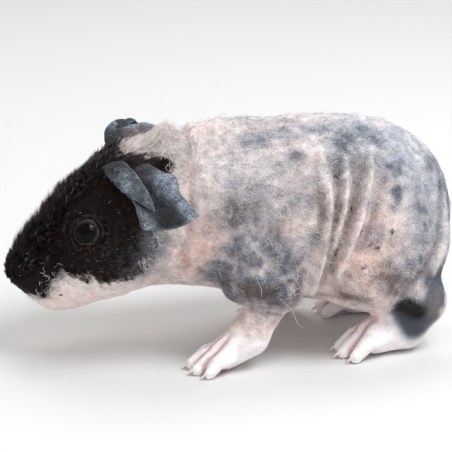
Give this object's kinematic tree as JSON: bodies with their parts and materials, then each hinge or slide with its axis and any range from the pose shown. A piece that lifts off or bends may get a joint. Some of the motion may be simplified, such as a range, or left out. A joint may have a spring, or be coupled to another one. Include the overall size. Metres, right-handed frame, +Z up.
{
  "type": "hairless guinea pig figure",
  "caption": "Still, life-size model of a young hairless guinea pig standing with its head low, dark furred face, folded leathery ears and bare blotched pink skin.",
  "frame": {"origin": "on the floor, under the middle of the animal's bounding box", "axes": "-X is the way the animal faces, -Y is its left side, +Z is up"},
  "size_m": [0.119, 0.057, 0.0613],
  "materials": {
    "bare_skin": "bare pinkish-white skin with soft blue-grey blotches and fine folds",
    "dark_face": "short brown-black fur over dark skin, white lower jaw",
    "ear_skin": "bare slate-grey leathery skin",
    "foot_skin": "bare pale pink skin with fine creases",
    "eye": "wet, near-black",
    "claw": "translucent pale horn"
  },
  "bodies": {
    "root": {"head": "dark_face", "neck": "bare_skin", "torso": "bare_skin", "eye_left": "eye", "eye_right": "eye", "ear_left": "ear_skin", "ear_right": "ear_skin", "foreleg_left": "bare_skin", "foreleg_right": "bare_skin", "hindleg_left": "bare_skin", "hindleg_right": "bare_skin", "forepaw_left": "foot_skin", "forepaw_right": "foot_skin", "hindfoot_left": "foot_skin", "hindfoot_right": "foot_skin", "claw_fore_left_1": "claw", "claw_fore_left_2": "claw", "claw_fore_left_3": "claw", "claw_fore_left_4": "claw", "claw_hind_left_1": "claw", "claw_hind_left_2": "claw", "claw_hind_left_3": "claw", "claw_fore_right_1": "claw", "claw_fore_right_2": "claw", "claw_fore_right_3": "claw", "claw_fore_right_4": "claw", "claw_hind_right_1": "claw", "claw_hind_right_2": "claw", "claw_hind_right_3": "claw"}
  },
  "joints": []
}
